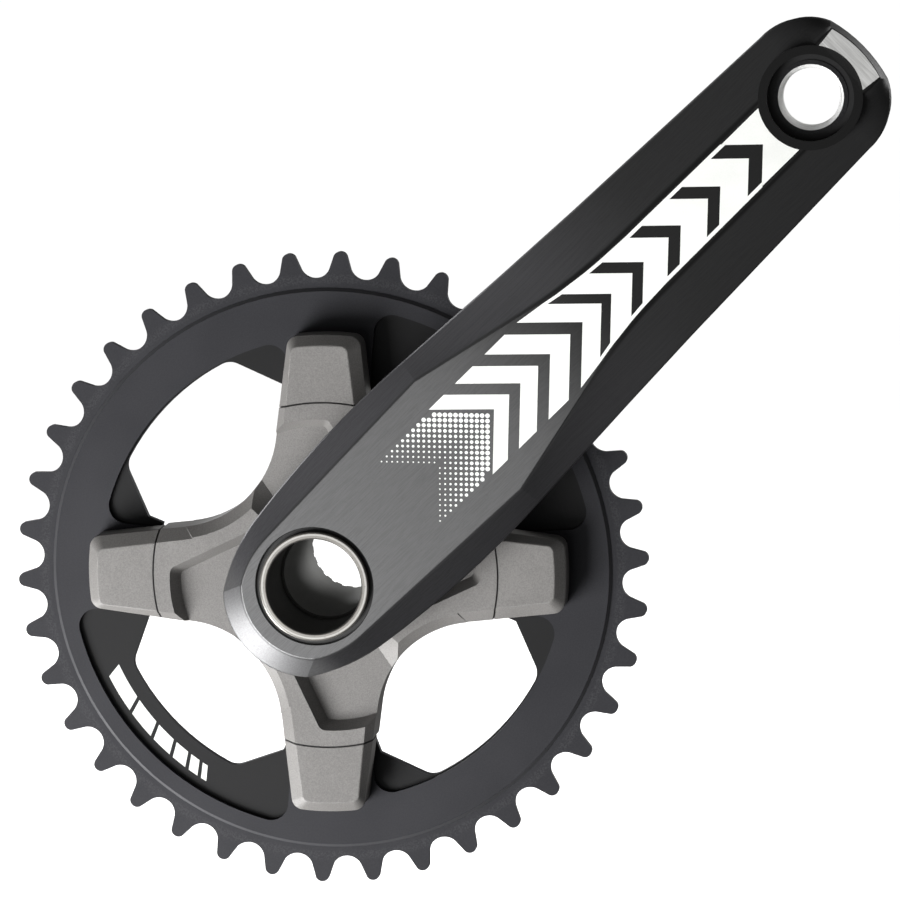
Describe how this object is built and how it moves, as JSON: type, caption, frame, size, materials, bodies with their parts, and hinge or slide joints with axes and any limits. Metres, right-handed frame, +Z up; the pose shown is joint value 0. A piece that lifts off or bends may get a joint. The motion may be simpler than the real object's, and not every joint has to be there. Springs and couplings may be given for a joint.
{
  "type": "bicycle crankset",
  "caption": "Drive-side bicycle crank: black brushed arm with an open pedal eye, hollow axle, four-armed grey spider with bolt covers, toothed chainring and bearing cup.",
  "frame": {"origin": "on the axle axis, in the mid-plane of the chainring's teeth (the chain line)", "axes": "+Z up; -Y outboard along the axle, towards the pedal; +X forward. At rest the crank arm points up and forward at 45 degrees"},
  "size_m": [0.2185, 0.0847, 0.2186],
  "materials": {
    "arm_black": "black anodised and brushed alloy",
    "tip_silver": "bead-blasted bright alloy",
    "insert_steel": "machined steel thread",
    "axle_steel": "turned steel with a bright end",
    "seal_black": "black sealing ring",
    "spider_grey": "warm grey metallic paint",
    "cover_grey": "warm grey metallic paint",
    "lock_ring_black": "black anodised alloy",
    "ring_charcoal": "charcoal anodised alloy",
    "bolt_steel": "zinc plated steel",
    "cup_black": "satin black anodised alloy",
    "spacer_black": "black plastic",
    "circlip_steel": "blackened spring steel",
    "race_steel": "ground bearing steel",
    "shield_grey": "rubber covered shield",
    "ball_steel": "polished steel",
    "cage_plastic": "glass filled nylon",
    "bush_plastic": "black acetal"
  },
  "bodies": {
    "bottom_bracket": {"bearing_cup": "cup_black", "cup_spacer": "spacer_black", "bearing_circlip": "circlip_steel", "bearing_outer_race": "race_steel", "bearing_shields": "shield_grey"},
    "crank": {"crank_arm": "arm_black", "tip_plate": "tip_silver", "pedal_thread_insert": "insert_steel", "axle": "axle_steel", "axle_seal_ring": "seal_black", "spider": "spider_grey", "spider_lock_ring": "lock_ring_black", "chainring": "ring_charcoal", "bolt_cover_1": "cover_grey", "bolt_cover_2": "cover_grey", "bolt_cover_3": "cover_grey", "bolt_cover_4": "cover_grey", "chainring_bolt_1": "bolt_steel", "chainring_bolt_2": "bolt_steel", "chainring_bolt_3": "bolt_steel", "chainring_bolt_4": "bolt_steel", "axle_bush": "bush_plastic", "bearing_inner_race": "race_steel"},
    "ball_set": {"bearing_balls": "ball_steel", "ball_cage": "cage_plastic"}
  },
  "joints": [
    {"name": "crank_spin", "type": "hinge", "parent": "bottom_bracket", "child": "crank", "pos_m": [0, 0, 0], "axis": [0, 1, 0], "continuous": true},
    {"name": "ball_orbit", "type": "hinge", "parent": "bottom_bracket", "child": "ball_set", "pos_m": [0, 0.0115, 0], "axis": [0, 1, 0], "continuous": true}
  ],
  "couplings": [
    {"joint": "ball_orbit", "follows": "crank_spin", "ratio": 0.4435}
  ]
}
